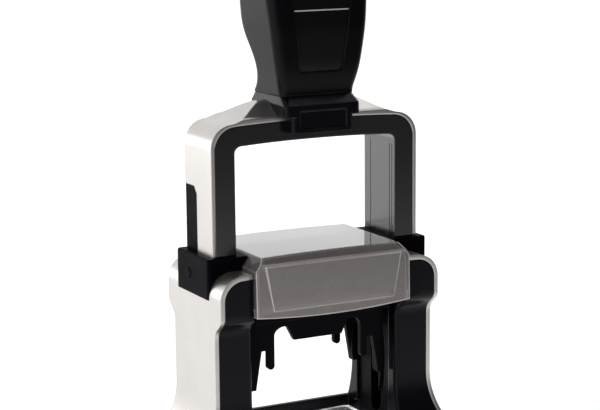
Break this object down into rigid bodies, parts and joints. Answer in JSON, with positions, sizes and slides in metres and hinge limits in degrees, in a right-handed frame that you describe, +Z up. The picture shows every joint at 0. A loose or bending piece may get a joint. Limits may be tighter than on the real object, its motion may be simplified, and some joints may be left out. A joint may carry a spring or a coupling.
{
  "type": "self-inking stamp",
  "caption": "Self-inking stamp with a waisted grip, a silver-banded press frame sliding in two clad towers, a turning platen and a smoky sliding cover.",
  "frame": {"origin": "centre of the stamp's bounding box, on the paper it stands on", "axes": "+X to the right seen from the front, +Y to the back, +Z up along the press stroke"},
  "size_m": [0.075, 0.046, 0.1498],
  "materials": {
    "black_plastic": "satin black moulding",
    "handle_plastic": "satin black grip with a fine grain",
    "label_plastic": "smooth black blank label",
    "silver_skin": "light satin silver",
    "guide_plastic": "satin black",
    "smoky_clear": "smoke-tinted clear plastic",
    "clear_plastic": "clear plastic",
    "paper": "blank card",
    "cassette_plastic": "satin black",
    "ink_felt": "ink-soaked felt",
    "plate_plastic": "light grey plate",
    "die_rubber": "red engraved rubber",
    "pin_steel": "bright steel",
    "post_plastic": "satin black"
  },
  "bodies": {
    "base": {"base_frame": "black_plastic", "tower_left": "black_plastic", "tower_right": "black_plastic", "cladding_left": "silver_skin", "cladding_right": "silver_skin", "guide_plate_left": "guide_plastic", "guide_plate_right": "guide_plastic", "collar_left": "black_plastic", "collar_right": "black_plastic", "positioning_frame": "clear_plastic", "ink_bridge": "black_plastic", "index_card": "paper", "spring_post_left": "post_plastic", "spring_post_right": "post_plastic", "return_spring_left": "pin_steel", "return_spring_right": "pin_steel"},
    "press_frame": {"frame_liner": "black_plastic", "frame_band": "silver_skin", "band_inlay_left": "black_plastic", "band_inlay_right": "black_plastic", "handle_saddle": "black_plastic", "handle_grip": "handle_plastic", "label_plate": "label_plastic"},
    "platen": {"platen_carrier": "guide_plastic", "text_plate": "plate_plastic", "rubber_die": "die_rubber", "axle_pin_left": "pin_steel", "axle_pin_right": "pin_steel", "cam_pin_left": "pin_steel", "cam_pin_right": "pin_steel"},
    "cassette": {"ink_cassette": "cassette_plastic", "ink_pad": "ink_felt"},
    "cover": {"window_cover": "smoky_clear"},
    "button_left": {"lock_button_left": "post_plastic"},
    "button_right": {"lock_button_right": "post_plastic"}
  },
  "joints": [
    {"name": "handle_press", "type": "slide", "parent": "base", "child": "press_frame", "axis": [0, 0, -1], "range_m": [0, 0.028], "stiffness_N_per_m": 250, "springref_m": -0.02, "deforming": ["return_spring_left", "return_spring_right"]},
    {"name": "platen_flip", "type": "hinge", "parent": "press_frame", "child": "platen", "pos_m": [0, 0, 0.0375], "axis": [1, 0, 0], "range_deg": [0, 180]},
    {"name": "cassette_slide", "type": "slide", "parent": "base", "child": "cassette", "axis": [0, 1, 0], "range_m": [0, 0.045]},
    {"name": "cover_slide", "type": "slide", "parent": "base", "child": "cover", "axis": [0, -1, 0], "range_m": [0, 0.035]},
    {"name": "lock_button_left_press", "type": "slide", "parent": "base", "child": "button_left", "axis": [1, 0, 0], "range_m": [0, 0.0005], "stiffness_N_per_m": 400, "springref_m": -0.002},
    {"name": "lock_button_right_press", "type": "slide", "parent": "base", "child": "button_right", "axis": [-1, 0, 0], "range_m": [0, 0.0005], "stiffness_N_per_m": 400, "springref_m": -0.002}
  ],
  "couplings": [
    {"joint": "platen_flip", "follows": "handle_press", "rad_per_m": 112.19}
  ]
}
